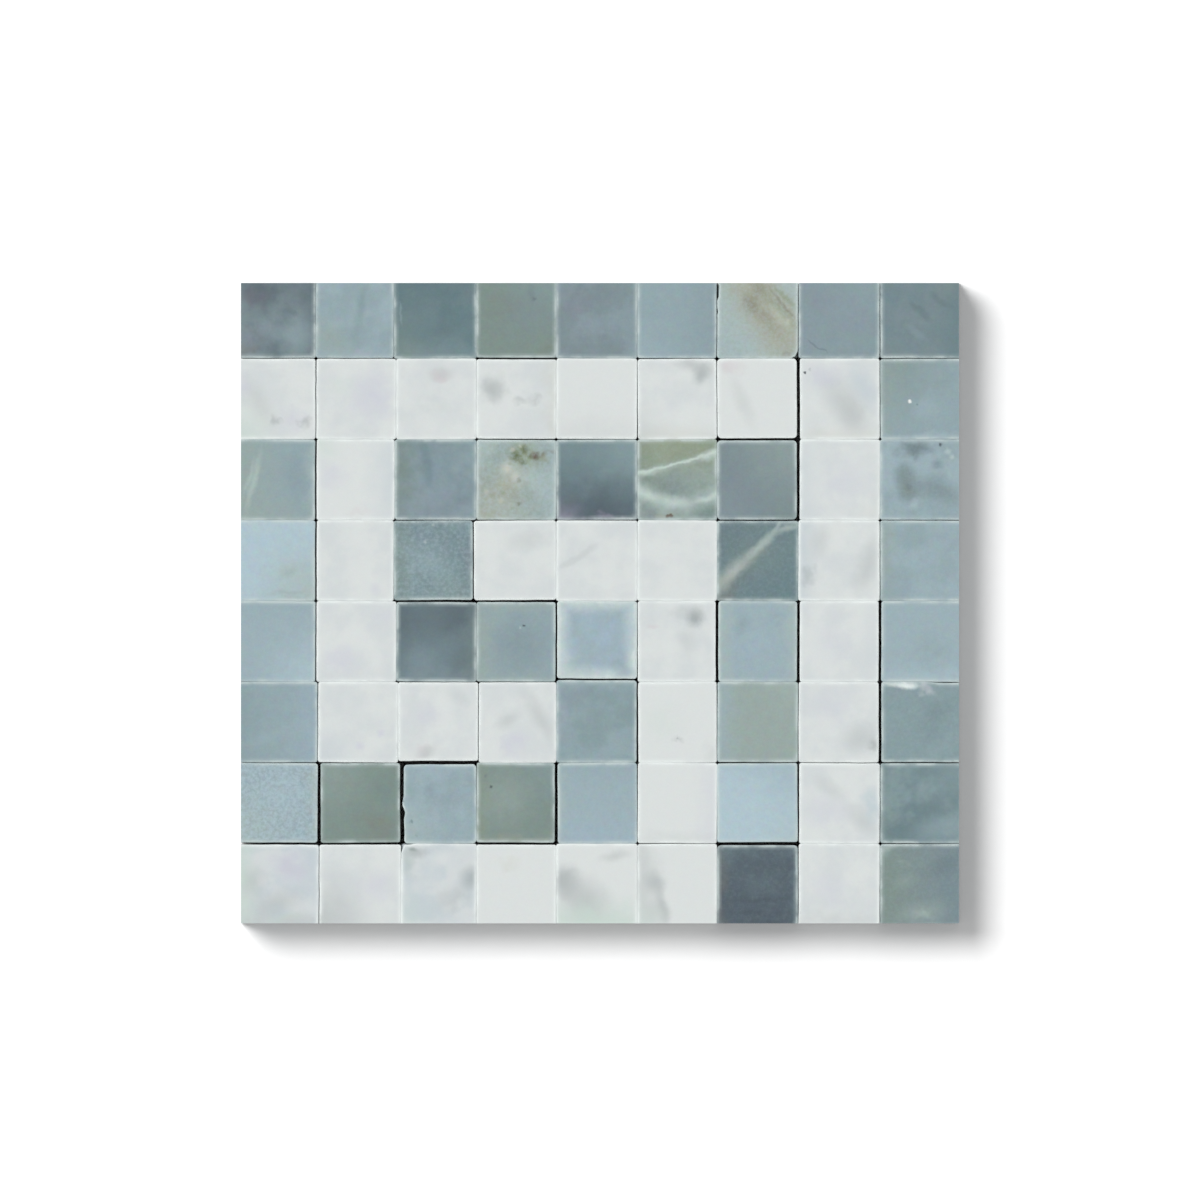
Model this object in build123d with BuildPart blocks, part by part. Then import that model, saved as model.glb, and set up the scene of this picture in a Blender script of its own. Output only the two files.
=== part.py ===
from build123d import *

import os

# Corner of a Greek-key border: sawn marble stones laid by hand on a glass-fibre mesh, in millimetres.
# The polished face is up (+Z). The border goes on to the left (-X) and down (-Y) from here.
# The origin is at the centre of the outline, on the underside of the mesh.

# Stones: most have their corners just knocked off, and a few are worn round
stone_size = 15.0
stone_thickness = 9.6
arris = 0.25
broken_corner = 0.3
worn_corner = 0.6
worn_stones = ((2, 7), (3, 7), (7, 3), (8, 7), (8, 9))

# Joints, from stones that all but touch to the widest gap
tight_joint = 0.08
fine_joint = 0.2
open_joint = 0.38
wide_joint = 0.58
gaping_joint = 0.95

# What the saw takes off the outer stones to square the sheet
trim_left = 1.2
trim_right = 0.6
trim_top = 1.0
trim_bottom = 0.2

# Mesh
yarn_width = 1.0
yarn_thickness = 0.35
yarn_pitch = 6.35
mesh_setback = 1.0

# The key as it is laid, the top course first: B is blue-grey marble and W is white marble
courses = (
    "BBBBBBBBB",
    "WWWWWWWWB",
    "BWBBBBBWB",
    "BWBWWWBWB",
    "BWBBBWBWB",
    "BWWWBWBWB",
    "BBBBBWBWB",
    "WWWWWWBWB",
)
stone_names = {"B": "blue", "W": "white"}

# Joints between the neighbours of each course, left to right: tight, fine, open, wide or gaping
side_joints = (
    "tttttfff",
    "otttffwf",
    "otttttwt",
    "otottttf",
    "ottofwww",
    "ftftoffw",
    "wgfwffof",
    "ftttttff",
)

# Joints under each course but the last, left to right
bed_joints = (
    "fftotfttf",
    "tttoftott",
    "ttffftotf",
    "ttoottttt",
    "ttffotttt",
    "ffwtttofo",
    "oototfwtf",
)
joint_widths = {
    "t": tight_joint,
    "f": fine_joint,
    "o": open_joint,
    "w": wide_joint,
    "g": gaping_joint,
}

# How far each upright line of joints wanders from the even grid, left to right
line_drift = (0.1, 0.0, -0.1, -0.3, -0.25, -0.5, -0.4, -0.25)

# Joints that the stones push further off their line: (course, line) from the top left, and the push
pushed_side_joints = {
    (1, 2): -0.45,
    (3, 2): -0.3,
    (4, 2): -0.5,
    (4, 3): -0.6,
    (6, 1): 0.35,
    (6, 2): 0.35,
    (6, 3): 0.35,
    (7, 1): 0.6,
    (7, 2): 1.0,
    (8, 1): 0.6,
    (8, 2): 0.9,
}
pushed_bed_joints = {(5, 5): 0.45}

# The sawn outline, centred on the origin
pitch = stone_size + fine_joint
course_count = len(courses)
column_count = len(courses[0])
outline_width = column_count * pitch - trim_left - trim_right
outline_height = course_count * pitch - trim_top - trim_bottom
right_side = outline_width / 2
top_side = outline_height / 2
touching = 1e-4


def side_joint(course, line):
    """Middle and width of the joint to the right of column number line, or the sawn outline."""
    if line == 0:
        return -right_side, 0
    if line == column_count:
        return right_side, 0
    middle = line * pitch - trim_left - right_side + line_drift[line - 1]
    middle += pushed_side_joints.get((course, line), 0)
    return middle, joint_widths[side_joints[course - 1][line - 1]]


def bed_joint(course, column):
    """Middle and width of the joint under a stone, or the sawn outline."""
    if course == 0:
        return top_side, 0
    if course == course_count:
        return -top_side, 0
    middle = top_side + trim_top - course * pitch
    middle += pushed_bed_joints.get((course, column), 0)
    return middle, joint_widths[bed_joints[course - 1][column - 1]]


def stone_bounds(course, column):
    """Left, right, bottom and top of one stone, between the joints round it."""
    left, left_joint = side_joint(course, column - 1)
    right, right_joint = side_joint(course, column)
    bottom, lower_joint = bed_joint(course, column)
    top, upper_joint = bed_joint(course - 1, column)
    return (
        left + left_joint / 2,
        right - right_joint / 2,
        bottom + lower_joint / 2,
        top - upper_joint / 2,
    )


def on_outline(point):
    """True where the saw cut: those edges and corners stay sharp."""
    return abs(point.X) > right_side - touching or abs(point.Y) > top_side - touching


def runs_of(course):
    """The runs of like stones in a course, as lists of column numbers."""
    runs = []
    for column, kind in enumerate(courses[course - 1], start=1):
        if column == 1 or kind != courses[course - 1][column - 2]:
            runs.append([])
        runs[-1].append(column)
    return runs


def run_name(course, columns):
    """Such as white_r2_c1_to_c8, or blue_r2_c9 for a single stone."""
    name = f"{stone_names[courses[course - 1][columns[0] - 1]]}_r{course}_c{columns[0]}"
    return name if len(columns) == 1 else f"{name}_to_c{columns[-1]}"


def lay_run(course, columns):
    """The stones of one run, standing on the mesh with their joints open between them."""
    with BuildPart() as run:
        with BuildSketch(Plane.XY.offset(yarn_thickness)) as footprints:
            for column in columns:
                left, right, bottom, top = stone_bounds(course, column)
                with Locations(((left + right) / 2, (bottom + top) / 2)):
                    Rectangle(right - left, top - bottom)
                corners = [v for v in footprints.vertices(Select.LAST) if not on_outline(v)]
                if (course, column) in worn_stones:
                    fillet(corners, worn_corner)
                else:
                    chamfer(corners, broken_corner)
        extrude(amount=stone_thickness)
        faces_up = run.faces().filter_by(Axis.Z).group_by(Axis.Z)[-1]
        chamfer([e for e in faces_up.edges() if not on_outline(e.center())], arris)
    run.part.label = run_name(course, columns)
    return run.part


# Glass-fibre mesh, cut square with its yarns left open at the ends
mesh_width = outline_width - 2 * mesh_setback
mesh_height = outline_height - 2 * mesh_setback
upright_yarns = int((mesh_width - yarn_width) // yarn_pitch) + 1
level_yarns = int((mesh_height - yarn_width) // yarn_pitch) + 1

with BuildPart() as mesh:
    with BuildSketch():
        with GridLocations(yarn_pitch, yarn_pitch, upright_yarns, 1):
            Rectangle(yarn_width, mesh_height)
        with GridLocations(yarn_pitch, yarn_pitch, 1, level_yarns):
            Rectangle(mesh_width, yarn_width)
    extrude(amount=yarn_thickness)
mesh.part.label = "glass_fibre_mesh"

# Stones, course by course
stone_runs = [
    lay_run(course, columns)
    for course in range(1, course_count + 1)
    for columns in runs_of(course)
]

os.makedirs("parts", exist_ok=True)
for piece in (mesh.part, *stone_runs):
    export_step(piece, f"parts/{piece.label}.step")

print(f"outline {outline_width:.1f} x {outline_height:.1f} x {yarn_thickness + stone_thickness:.2f} mm")
print(f"{len(stone_runs)} runs of stones, {upright_yarns} x {level_yarns} yarns")
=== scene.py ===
import math
import random

import bmesh
import bpy
from bpy.props import FloatProperty, FloatVectorProperty, IntProperty, PointerProperty
from bpy.types import Operator, Panel, PropertyGroup
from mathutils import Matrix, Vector


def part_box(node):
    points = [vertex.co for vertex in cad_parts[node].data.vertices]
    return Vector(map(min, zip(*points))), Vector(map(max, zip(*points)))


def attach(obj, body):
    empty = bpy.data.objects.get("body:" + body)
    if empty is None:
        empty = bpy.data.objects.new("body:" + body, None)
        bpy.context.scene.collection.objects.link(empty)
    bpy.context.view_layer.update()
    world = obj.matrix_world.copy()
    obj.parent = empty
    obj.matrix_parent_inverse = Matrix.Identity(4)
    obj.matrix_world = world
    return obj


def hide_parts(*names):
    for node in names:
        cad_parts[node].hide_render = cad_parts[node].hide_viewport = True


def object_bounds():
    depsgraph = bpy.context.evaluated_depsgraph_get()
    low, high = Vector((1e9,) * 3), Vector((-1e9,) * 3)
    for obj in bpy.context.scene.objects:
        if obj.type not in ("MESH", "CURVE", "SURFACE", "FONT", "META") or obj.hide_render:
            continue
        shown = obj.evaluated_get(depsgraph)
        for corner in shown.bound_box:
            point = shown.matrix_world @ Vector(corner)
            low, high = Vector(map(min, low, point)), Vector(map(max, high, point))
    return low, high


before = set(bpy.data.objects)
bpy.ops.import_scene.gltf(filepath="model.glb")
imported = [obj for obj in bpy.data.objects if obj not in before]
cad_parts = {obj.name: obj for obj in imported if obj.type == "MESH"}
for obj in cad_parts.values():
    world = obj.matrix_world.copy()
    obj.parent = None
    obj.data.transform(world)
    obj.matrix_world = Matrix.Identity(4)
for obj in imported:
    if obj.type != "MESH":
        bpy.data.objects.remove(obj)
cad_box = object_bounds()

bl_info = {
    "name": "Marble border corner tile",
    "version": (1, 0, 0),
    "blender": (4, 5, 0),
    "location": "3D View > Sidebar > Border tile",
    "description": "Lays hand-cut marble stones in a Greek-key border corner on a glass-fibre mesh",
    "category": "Object",
}

MM = 0.001
TOUCHING = 0.001 * MM

# The sheet as it comes from the CAD: its sawn sides, its polished face and the foot of the stones
SIDE_X = cad_box[1].x
SIDE_Y = cad_box[1].y
FACE_Z = cad_box[1].z
FOOT_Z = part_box("blue_r2_c9")[0].z
COURSES = 8
COLUMNS = 9


def tone(label, note, code):
    """A colour of the palette, written the way a screen shows it."""
    shown = [int(code[i:i + 2], 16) / 255 for i in (0, 2, 4)]
    level = [c / 12.92 if c <= 0.04045 else ((c + 0.055) / 1.055) ** 2.4 for c in shown]
    return FloatVectorProperty(
        name=label, description=note, subtype="COLOR", size=3, default=level, min=0.0, max=1.0
    )


def length(label, note, value):
    """A length that a user would change, in metres."""
    return FloatProperty(
        name=label, description=note, default=value, min=0.0, precision=5,
        unit="LENGTH", subtype="DISTANCE",
    )


class StoneSizes(PropertyGroup):
    stone_width: length("Stone width", "Side of a full stone before the sheet is sawn", 15.0 * MM)
    arris: length("Arris", "Width that the tumbled edge of the face is worn back", 0.09 * MM)
    # The rim, its fade and the halo make the pale line inside each edge: partly bruised stone, partly
    # a painted highlight of the arris
    rim_width: length("Rim", "Width of the pale bruised line inside each edge", 0.2 * MM)
    rim_fade: length("Rim fade", "Width over which the bruised line dies down", 0.25 * MM)
    halo: length("Halo", "Width of the faint paling inside the bruised line", 0.45 * MM)
    crisp_corner: length("Crisp corner", "Corner radius of a fresh stone", 0.42 * MM)
    soft_corner: length("Soft corner", "Corner radius of a lightly worn stone", 0.56 * MM)
    worn_corner: length("Worn corner", "Corner radius of the most worn stones", 0.8 * MM)
    shallow: length("Broken depth", "How far down an edge breaks away", 1.2 * MM)
    slow_wander: length("Slow wander", "How far a sawn edge wanders along a stone", 0.10 * MM)
    quick_wander: length("Quick wander", "How far a sawn edge crumbles in small bites", 0.06 * MM)
    over_cut: length("Over cut", "Extra stone beyond the sheet that the saw takes off", 0.6 * MM)
    closer: length("Closer", "How much a stone is let out on each side of its drawn place", 0.05 * MM)
    cuts: IntProperty(
        name="Cuts", description="Points along each edge that wear can move", default=20, min=4, max=60
    )
    turn: FloatProperty(
        name="Turn", description="Most that a stone is turned out of square",
        default=math.radians(0.3), min=0.0, max=0.1, unit="ROTATION", subtype="ANGLE",
    )


class MarbleTones(PropertyGroup):
    slate: tone("Slate", "Darkest blue-grey marble", "505c65")
    storm: tone("Storm", "Dark blue-grey marble", "637379")
    teal: tone("Teal", "Dark green-blue marble", "617a7f")
    petrol: tone("Petrol", "Green-blue marble", "6b8085")
    steel: tone("Steel", "Blue-grey marble", "72868c")
    pewter: tone("Pewter", "Neutral grey marble", "7b8b90")
    dove: tone("Dove", "Mid blue-grey marble", "87979f")
    river: tone("River", "Mid green-blue marble", "84999d")
    mist: tone("Mist", "Light blue-grey marble", "90a4aa")
    haze: tone("Haze", "Lighter blue-grey marble", "9aaeb5")
    powder: tone("Powder", "Pale clear blue marble", "9fb3c2")
    ice: tone("Ice", "Palest blue marble", "aec3cc")
    # Frost is the pale rim of a blue stone, partly bruised stone and partly a painted highlight; it
    # also tints pale marks
    frost: tone("Frost", "Bruised edge of a blue stone", "c5d2d1")
    moss: tone("Moss", "Green-grey marble", "7c8d88")
    sage: tone("Sage", "Light green-grey marble", "96a6a2")
    olive: tone("Olive", "Olive stain", "8f9a83")
    celadon: tone("Celadon", "Pale green-blue marble", "a6b6b3")
    fawn: tone("Fawn", "Tan stain", "a2a493")
    moss_dark: tone("Dark moss", "Dark green stain", "59603f")
    umber: tone("Umber", "Brown stain", "787367")
    rust: tone("Rust", "Dark red-brown stain", "605246")
    plum: tone("Plum", "Dark purple stain", "716b78")
    heather: tone("Heather", "Purple-grey tint", "888798")
    lilac: tone("Lilac", "Pale purple tint", "a8a9bb")
    # Grime and shade: painted shade at the foot of the arris, where two stones meet, and the grime of
    # the saw marks
    grime_and_shade: tone("Grime", "Dust on the worn arris of a stone", "6f797b")
    soot: tone("Soot", "Dark pits and specks", "3e474c")
    milk: tone("Milk", "Cleanest white marble", "d9dedd")
    chalk: tone("Chalk", "White marble", "d1d7d8")
    pearl: tone("Pearl", "Bluish white marble", "c3cdd2")
    lily: tone("Lily", "White marble with a purple tint", "ced1d9")
    mint: tone("Mint", "White marble with a green tint", "c5d5cd")
    cream: tone("Cream", "White marble with a yellow tint", "cbcdc2")
    rose: tone("Rose", "White marble with a pink tint", "cfc6ca")
    cloud: tone("Cloud", "Grey cloud in white marble", "b5bbbb")
    ash: tone("Ash", "Darker grey vein in white marble", "a1a9aa")
    # Rime is the pale rim of a white stone, partly bruised stone and partly a painted highlight; it
    # also tints pale marks
    rime: tone("Rime", "Bruised edge of a white stone", "e9f0ee")
    # Painted shade on the walls of the joints, where the gaps fall dark
    joint_shade: tone("Slurry", "Saw slurry dried on the walls of the joints", "30383a")
    glue: tone("Glue", "Dried glue on the underside", "c8cbc3")
    yarn: tone("Yarn", "Coated glass-fibre yarn", "dde2dd")


class MeshSizes(PropertyGroup):
    yarn_width: length("Yarn width", "Width of a yarn", 1.0 * MM)
    yarn_thickness: length("Yarn thickness", "Thickness of a yarn", 0.15 * MM)
    crimp: length("Crimp", "How far a yarn rises and falls at the crossings", 0.16 * MM)
    pitch: length("Pitch", "From one yarn to the next", 6.35 * MM)


class StageLight(PropertyGroup):
    sun_level: FloatProperty(
        name="Sun level", description="Share of the light that the lamp gives to a level white face",
        default=0.70, min=0.0, max=2.0,
    )
    sky_level: FloatProperty(
        name="Sky level", description="Share of the light that the sky gives to a level white face",
        default=0.30, min=0.0, max=2.0,
    )
    sun_spread: FloatProperty(
        name="Sun spread", description="How wide the lamp looks, which softens its shadow",
        default=math.radians(34), min=0.0, max=3.0, unit="ROTATION", subtype="ANGLE",
    )
    picture_width: length("Picture width", "Width of the floor that the camera takes in", 225.6 * MM)
    floor_width: length("Floor width", "Side of the floor", 6.0)


# The looks of the stones, course by course. Places are given across and down a stone from 0 to 1,
# lengths in millimetres and turns in degrees. Each mark is soft, strongest at its middle and nothing
# at its rim, so its half sizes are more than half of what it is asked for.
STONE_MM = 15
PATCH_HALF = 0.7
SPOT_HALF = 0.6
VEIN_REACH = 0.896
SOFTER = 1.3
CORNER_REACH = 2.4


def placed(across, down):
    """Millimetres right of the middle of a stone and above it."""
    return (across - 0.5) * STONE_MM, (0.5 - down) * STONE_MM


def patch(name, across, down, long, wide, strength, turn=0, edge=1):
    """A cloud of another tone."""
    halves = (long * PATCH_HALF, wide * PATCH_HALF)
    return ("patch", name, *placed(across, down), *halves, turn, strength, edge)


def spot(name, across, down, size, strength, edge=0.6):
    """A speck, pit or small stain."""
    halves = (size * SPOT_HALF, size * SPOT_HALF)
    return ("spot", name, *placed(across, down), *halves, 0, strength, edge)


def vein(name, start, end, wide, strength, edge=0.85):
    """A streak from one place to another."""
    run = (end[0] - start[0]) * STONE_MM
    rise = (start[1] - end[1]) * STONE_MM
    long = math.hypot(run, rise) * VEIN_REACH
    turn = math.degrees(math.atan2(rise, run))
    middle = ((start[0] + end[0]) / 2, (start[1] + end[1]) / 2)
    return ("vein", *patch(name, *middle, long, wide, strength, turn, edge)[1:])


def smear(name, start, end, wide, strength):
    """A streak with soft sides and soft ends."""
    return ("smear", *vein(name, start, end, wide * SOFTER, strength, 1)[1:])


def band(name, start, end, wide, strength):
    """A streak with soft sides that keeps its width to its ends."""
    return vein(name, start, end, wide * SOFTER, strength, 1)


def side(name, where, reach, strength):
    """A tone that comes in from a side or a corner."""
    across = 0 if "left" in where else 1 if "right" in where else 0.5
    down = 0 if "top" in where else 1 if "bottom" in where else 0.5
    if across == 0.5:
        return patch(name, across, down, 2 * STONE_MM, reach * 2, strength)
    if down == 0.5:
        return patch(name, across, down, 2 * STONE_MM, reach * 2, strength, turn=90)
    return patch(name, across, down, reach * CORNER_REACH, reach * CORNER_REACH, strength)


def border(name, reach, strength):
    """A tone that comes in from all four sides."""
    return ("border", name, 0, 0, reach, reach, 0, strength, 1)


# (course, column): (first tone, second tone, flecks, marks)
LOOKS = {
    (1, 1): ("storm", "pewter", 0, (
        side("slate", "top", 6, 0.45),
        patch("plum", 0.22, 0.25, 7, 5, 0.35),
        patch("heather", 0.15, 0.8, 8, 6, 0.25),
        side("slate", "right", 2.4, 0.3),
        smear("mist", (0.5, 0.55), (1, 0.9), 6, 0.55),
        smear("dove", (0.2, 0.55), (0.6, 0.75), 4, 0.4),
        smear("steel", (0, 0.45), (0.45, 0.5), 3, 0.4),
        patch("slate", 0.7, 0.45, 3.5, 2.5, 0.3),
        patch("umber", 0.1, 0.92, 5, 3, 0.3),
    )),
    (1, 2): ("haze", "mist", 0, (
        smear("river", (0.66, 0), (0.5, 0.65), 1.3, 0.75),
        smear("river", (0.56, 0.4), (0.46, 1), 2, 0.4),
        smear("sage", (-0.05, 0.5), (0.42, 1.05), 5, 0.7),
        patch("lilac", 0.55, 0.95, 4, 1.4, 0.35),
    )),
    (1, 3): ("teal", "petrol", 0, (
        side("storm", "top", 6, 0.3),
        side("petrol", "bottom", 6, 0.6),
        side("river", "bottom", 3, 0.4),
        side("moss", "bottom left", 6, 0.6),
        smear("storm", (0.7, 0.3), (0.5, 1), 3.5, 0.3),
        vein("mist", (0.04, 0.3), (0.08, 0.6), 0.5, 0.35),
    )),
    (1, 4): ("moss", "moss", 0, (
        side("river", "top right", 8, 0.6),
        patch("pewter", 0.6, 0.5, 11, 10, 0.55),
        spot("storm", 0.72, 0.28, 1, 0.7, 0.9),
        smear("storm", (0.68, 0.1), (0.7, 0.35), 1.4, 0.25),
        patch("umber", 0.3, 0.4, 8, 5, 0.12),
        patch("umber", 0.9, 0.93, 5, 3, 0.2),
    )),
    (1, 5): ("pewter", "dove", 0, (
        patch("heather", 0.25, 0.35, 7, 6, 0.25, turn=20),
        side("river", "right", 5, 0.4),
    )),
    (1, 6): ("mist", "mist", 0, (
        side("dove", "right", 6, 0.5),
        side("haze", "bottom left", 6, 0.6),
    )),
    (1, 7): ("celadon", "celadon", 0.3, (
        side("haze", "bottom left", 6, 0.5),
        band("fawn", (0.22, -0.15), (1, 1.05), 7.5, 0.95),
        band("fawn", (0.5, -0.1), (1.1, 0.8), 3.5, 0.6),
        smear("umber", (0.3, 0.2), (0.8, 0.75), 2, 0.25),
        patch("umber", 0.42, 0.3, 5, 3.4, 0.4, turn=40),
        smear("umber", (0.36, -0.05), (0.7, 0.3), 2.2, 0.35),
        smear("olive", (0.5, 0.1), (1.05, 0.75), 2.4, 0.6),
        vein("umber", (0.66, 0.14), (0.97, 0.52), 0.6, 0.4),
        vein("olive", (0.72, 0.12), (1, 0.42), 0.9, 0.7),
        smear("celadon", (0.82, -0.05), (1.05, 0.25), 3, 0.8),
        smear("cream", (0.62, 0.3), (0.95, 0.7), 1.6, 0.35),
        spot("cream", 0.88, 0.55, 1.4, 0.35, 0.9),
        spot("umber", 0.86, 0.97, 1.6, 0.4),
    )),
    (1, 8): ("river", "dove", 0, (
        patch("heather", 0.2, 0.25, 7, 6, 0.3),
        side("mist", "top right", 6, 0.4),
        vein("storm", (0.12, 0.78), (0.34, 0.97), 0.4, 0.45),
    )),
    (1, 9): ("steel", "pewter", 0, (
        side("teal", "right", 5, 0.5),
        vein("storm", (0.35, 0.32), (0.62, 0.55), 1.4, 0.45),
        vein("storm", (0.6, 0.2), (0.9, 0.42), 1.2, 0.4),
        vein("dove", (0.3, 0.6), (0.55, 0.8), 1.6, 0.4),
        patch("moss", 0.85, 0.12, 5, 3, 0.4),
    )),
    (2, 1): ("milk", "chalk", 0, (
        side("mint", "bottom left", 6, 0.7),
        patch("lily", 0.1, 0.35, 4, 5, 0.8),
        smear("cloud", (0.12, 0.2), (0.5, 0.9), 3.6, 0.4),
        patch("lily", 0.75, 0.75, 6, 4, 0.7),
        patch("cloud", 0.52, 0.78, 2.4, 2.4, 0.8),
        patch("cloud", 0.9, 0.8, 2.6, 2.6, 0.8),
    )),
    (2, 2): ("chalk", "milk", 0, (
        patch("lily", 0.72, 0.45, 8, 10, 1),
        patch("mint", 0.3, 0.3, 5, 5, 0.3),
    )),
    (2, 3): ("milk", "chalk", 0, (
        smear("cloud", (0.35, 0.22), (0.75, 0.16), 2.2, 0.55),
        patch("rose", 0.55, 0.2, 5, 2.4, 0.5),
        patch("cloud", 0.5, 0.6, 5, 3, 0.15),
    )),
    (2, 4): ("milk", "chalk", 0, (
        smear("ash", (0.14, 0.55), (0.24, 0.25), 3, 0.6),
        patch("cloud", 0.22, 0.35, 5, 6, 0.5),
        patch("cloud", 0.55, 0.5, 3, 1.8, 0.55),
        patch("cloud", 0.72, 0.5, 2.4, 1.8, 0.5),
        side("cream", "right", 2.5, 0.4),
    )),
    (2, 5): ("milk", "milk", 0, (
        side("cloud", "bottom", 5, 0.2),
    )),
    (2, 6): ("milk", "chalk", 0, (
        smear("cloud", (0.4, 0), (0.95, 0.12), 2.6, 0.7),
        smear("ash", (0.7, 0.32), (0.88, 0.06), 2.2, 0.7),
        patch("cloud", 0.85, 0.15, 4, 4, 0.4),
        side("cloud", "bottom left", 5, 0.35),
        side("cream", "bottom", 3, 0.3),
    )),
    (2, 7): ("milk", "milk", 0, (
        patch("rose", 0.15, 0.1, 5, 3, 0.5),
        smear("cloud", (0.15, 0.15), (0.5, 0.95), 2.4, 0.3),
    )),
    (2, 8): ("chalk", "milk", 0, (
        patch("lily", 0.3, 0.25, 7, 5, 0.9),
        smear("cloud", (0.3, 0.2), (0.85, 1), 5.5, 0.6),
        smear("cloud", (0.55, 0.55), (0.8, 0.9), 3.5, 0.35),
        smear("pearl", (0.6, 0), (1, 0.7), 4, 0.8),
        side("cream", "bottom", 2.5, 0.3),
        side("milk", "left", 2.5, 0.6),
        spot("soot", 0.06, 0.17, 0.6, 0.9),
        spot("moss", 0.12, 0.13, 0.8, 0.3, 0.9),
    )),
    (2, 9): ("mist", "mist", 0, (
        side("moss", "top left", 10, 0.55),
        side("sage", "left", 4, 0.4),
        smear("haze", (0.4, 0.75), (0.65, 0.5), 2.6, 0.5),
        patch("haze", 0.62, 0.62, 7, 5, 0.45),
        smear("river", (0.6, 0.35), (0.95, 0.2), 2, 0.4),
        side("ice", "bottom", 1.2, 0.3),
        spot("rime", 0.35, 0.53, 0.85, 1, 0.8),
        spot("slate", 0.44, 0.57, 0.5, 0.4, 0.9),
    )),
    (3, 1): ("mist", "mist", 0, (
        side("sage", "left", 9, 0.9),
        side("sage", "bottom", 4, 0.5),
        side("celadon", "right", 1.6, 0.5),
        smear("pewter", (0.75, 0.1), (0.8, 0.8), 4, 0.25),
        smear("mint", (0.36, 0.05), (0.14, 0.95), 1.2, 0.35),
        smear("mint", (0.26, 0.2), (0.1, 0.75), 0.8, 0.3),
    )),
    (3, 2): ("milk", "milk", 0, (
        patch("lily", 0.2, 0.45, 7, 6, 0.6),
        side("pearl", "right", 5, 0.6),
        side("mint", "top left", 4, 0.5),
        patch("rose", 0.55, 0.9, 5, 2, 0.25),
    )),
    (3, 3): ("steel", "dove", 0, (
        patch("steel", 0.5, 0.4, 6, 14, 0.5),
        patch("powder", 0.5, 0.45, 11, 12, 0.22),
        side("moss", "left", 4.5, 0.75),
        side("river", "top right", 7, 0.7),
        side("dove", "bottom", 6, 0.6),
        side("mist", "right", 3, 0.4),
        vein("teal", (0.36, 0), (0.42, 0.6), 2, 0.3),
    )),
    (3, 4): ("sage", "celadon", 0.35, (
        side("fawn", "bottom left", 8, 0.6),
        side("haze", "right", 4, 0.4),
        band("cream", (0.36, 0.25), (0.5, 0.6), 4.5, 0.35),
        smear("fawn", (0.15, 0.75), (0.6, 0.45), 5, 0.6),
        spot("olive", 0.57, 0.18, 6.4, 1, 1),
        patch("olive", 0.75, 0.22, 5, 3, 0.6, edge=0.8),
        spot("moss_dark", 0.5, 0.2, 2.8, 0.8, 1),
        spot("moss_dark", 0.6, 0.12, 2, 0.8, 1),
        spot("moss_dark", 0.58, 0.28, 1.6, 0.7, 1),
        spot("moss_dark", 0.67, 0.2, 1.4, 0.7, 1),
        spot("cream", 0.55, 0.08, 0.8, 0.4, 0.9),
        spot("cream", 0.45, 0.12, 1.2, 0.4, 0.9),
        spot("rust", 0.74, 0.2, 2.1, 0.9, 0.9),
        smear("umber", (0.76, 0.22), (0.9, 0.12), 0.8, 0.7),
        smear("umber", (0.88, 0.13), (1.04, 0.14), 0.6, 0.5),
        spot("cream", 0.38, 0.36, 2.6, 0.6, 1),
        spot("cream", 0.48, 0.46, 2.2, 0.5, 1),
        spot("olive", 0.42, 0.3, 1, 0.5, 0.9),
        spot("moss_dark", 0.53, 0.5, 1.2, 0.35, 0.9),
        spot("olive", 0.2, 0.7, 1.4, 0.5, 0.9),
        spot("cream", 0.12, 0.64, 1.4, 0.4, 0.9),
        spot("olive", 0.33, 0.66, 1.2, 0.5, 0.9),
        spot("cream", 0.3, 0.76, 1.4, 0.4, 0.9),
        spot("moss_dark", 0.54, 0.8, 1.1, 0.5, 0.9),
        spot("olive", 0.46, 0.86, 1, 0.5, 0.9),
    )),
    (3, 5): ("petrol", "petrol", 0, (
        side("river", "top right", 10, 0.9),
        side("slate", "bottom", 9, 0.9),
        side("river", "top left", 4, 0.4),
        patch("steel", 0.3, 0.5, 8, 6, 0.4),
        side("heather", "bottom left", 4, 0.6),
        side("heather", "bottom", 1, 0.6),
    )),
    (3, 6): ("moss", "sage", 0.1, (
        side("olive", "top", 8, 0.9),
        patch("pewter", 0.5, 0.52, 8, 4.5, 0.45),
        patch("heather", 0.12, 0.97, 5, 3, 0.35),
        side("moss", "bottom right", 4, 0.8),
        side("teal", "bottom right", 2.5, 0.3),
        band("celadon", (-0.05, 0.45), (1.05, 0.16), 1.4, 0.6),
        band("mint", (-0.05, 0.44), (1.05, 0.15), 0.55, 0.8),
        smear("mint", (-0.15, 0.45), (0.3, 0.38), 1, 0.7),
        smear("mint", (0.75, 0.24), (1.2, 0.1), 1.4, 0.8),
        band("celadon", (-0.1, 0.58), (0.32, 0.78), 3, 0.85),
        band("mint", (-0.1, 0.58), (0.28, 0.76), 1.4, 0.7),
        band("celadon", (0.26, 0.79), (0.74, 0.82), 3, 0.9),
        smear("mint", (0.15, 0.74), (0.75, 0.82), 2, 0.6),
        band("celadon", (0.7, 0.8), (1.1, 0.65), 3, 0.85),
        band("mint", (0.7, 0.79), (1.1, 0.66), 1.2, 0.6),
        patch("fawn", 0.3, 0.94, 5, 1.6, 0.45),
        spot("rust", 0.38, 0.955, 1, 0.9, 0.6),
        spot("rust", 0.42, 0.95, 0.9, 0.9, 0.6),
    )),
    (3, 7): ("pewter", "pewter", 0, (
        side("sage", "top right", 9, 0.55),
        side("dove", "bottom left", 6, 0.4),
        side("moss", "bottom right", 5, 0.4),
        patch("heather", 0.3, 0.6, 8, 8, 0.12),
    )),
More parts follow.
